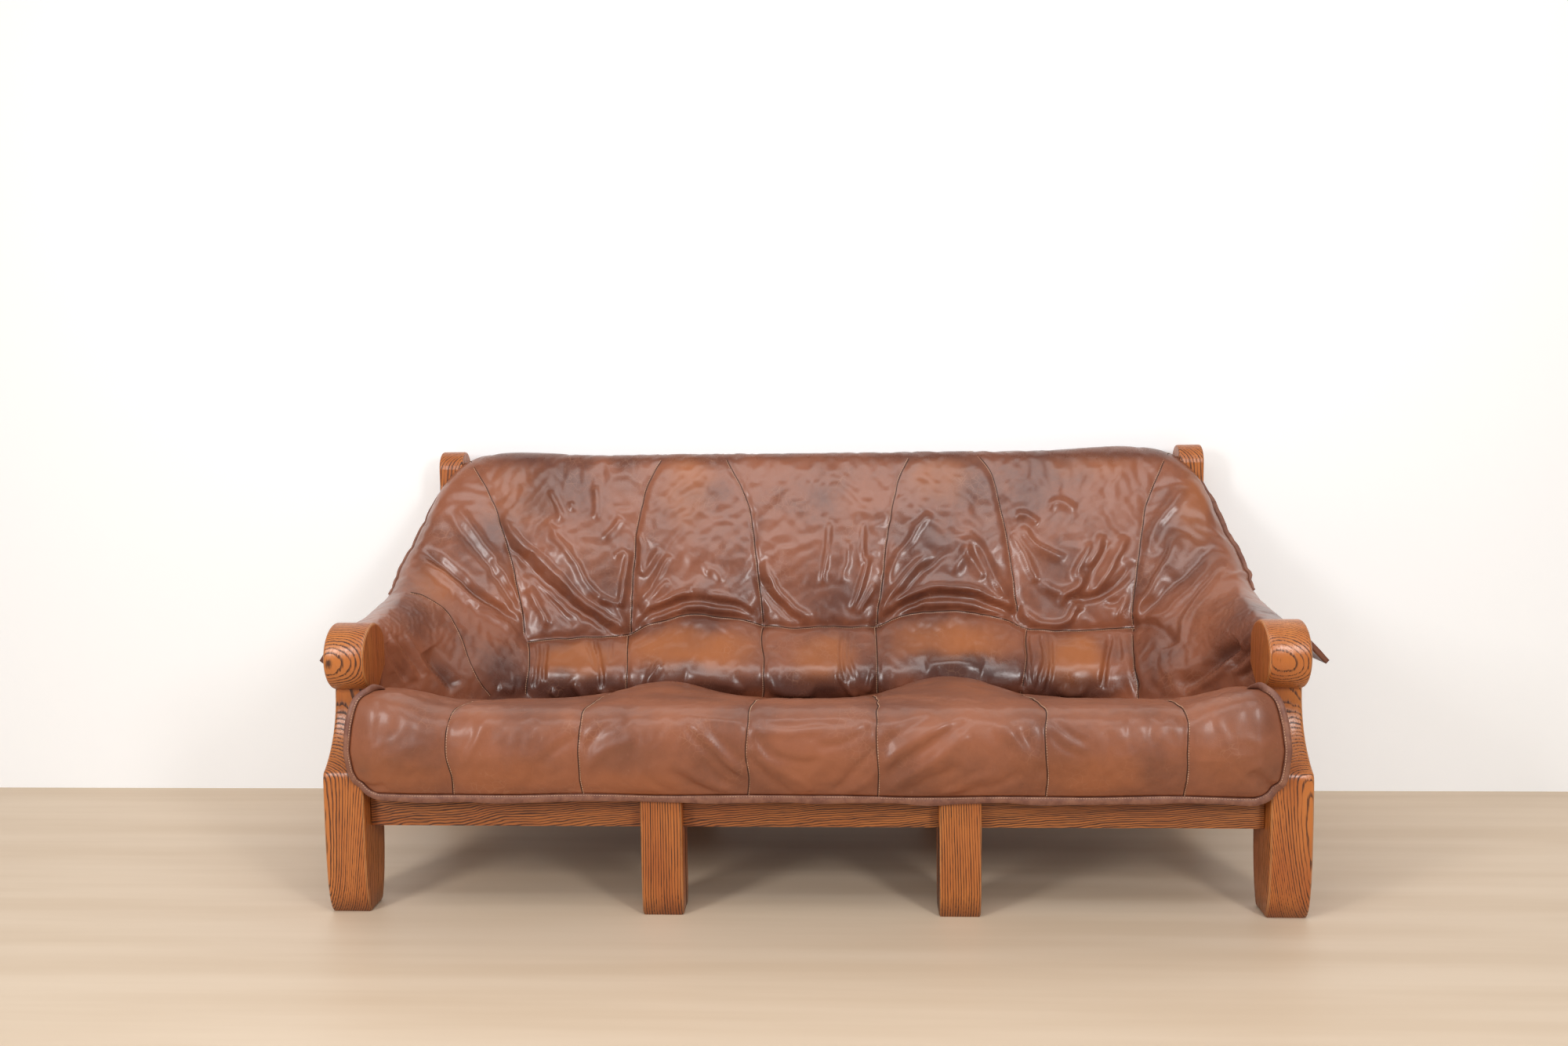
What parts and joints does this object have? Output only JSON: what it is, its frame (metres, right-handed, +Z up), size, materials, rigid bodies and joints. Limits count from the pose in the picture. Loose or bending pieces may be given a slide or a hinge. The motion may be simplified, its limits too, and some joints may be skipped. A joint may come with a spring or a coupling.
{
  "type": "leather and oak sofa",
  "caption": "Three-seat sofa: oak frame with drum-ended arms, sculpted feet, a quilted leather seat pad and one leather back pad draped over the arm and top rails.",
  "frame": {"origin": "middle of the sofa's footprint, on the floor", "axes": "+X to the sitter's left (a viewer's right, seen from the front), +Y to the back, +Z up"},
  "size_m": [2.044, 0.849, 0.881],
  "materials": {
    "oak": "satin, worn",
    "seat_leather": "worn, semi-gloss",
    "back_leather": "worn, glossy on the creases",
    "webbing": "woven, matte",
    "bolt_steel": "zinc plated, dull"
  },
  "bodies": {
    "root": {"arm_bolt_left": "bolt_steel", "arm_bolt_right": "bolt_steel", "arm_rail_left": "oak", "arm_rail_right": "oak", "back_lower_rail": "oak", "back_pad": "back_leather", "back_post_left": "oak", "back_post_right": "oak", "back_strap_1": "webbing", "back_strap_2": "webbing", "back_strap_3": "webbing", "back_strap_4": "webbing", "back_strap_5": "webbing", "back_strap_6": "webbing", "back_top_rail": "oak", "cross_bearer_left": "oak", "cross_bearer_right": "oak", "front_post_left": "oak", "front_post_right": "oak", "front_rail": "oak", "middle_leg_front_left": "oak", "middle_leg_front_right": "oak", "middle_leg_rear_left": "oak", "middle_leg_rear_right": "oak", "rear_rail": "oak", "seat_pad": "seat_leather", "seat_strap_1": "webbing", "seat_strap_2": "webbing", "seat_strap_3": "webbing", "seat_strap_4": "webbing", "seat_strap_5": "webbing", "seat_strap_6": "webbing", "seat_strap_7": "webbing", "seat_strap_8": "webbing", "side_bolt_left": "bolt_steel", "side_bolt_right": "bolt_steel", "side_rail_left": "oak", "side_rail_right": "oak"}
  },
  "joints": []
}
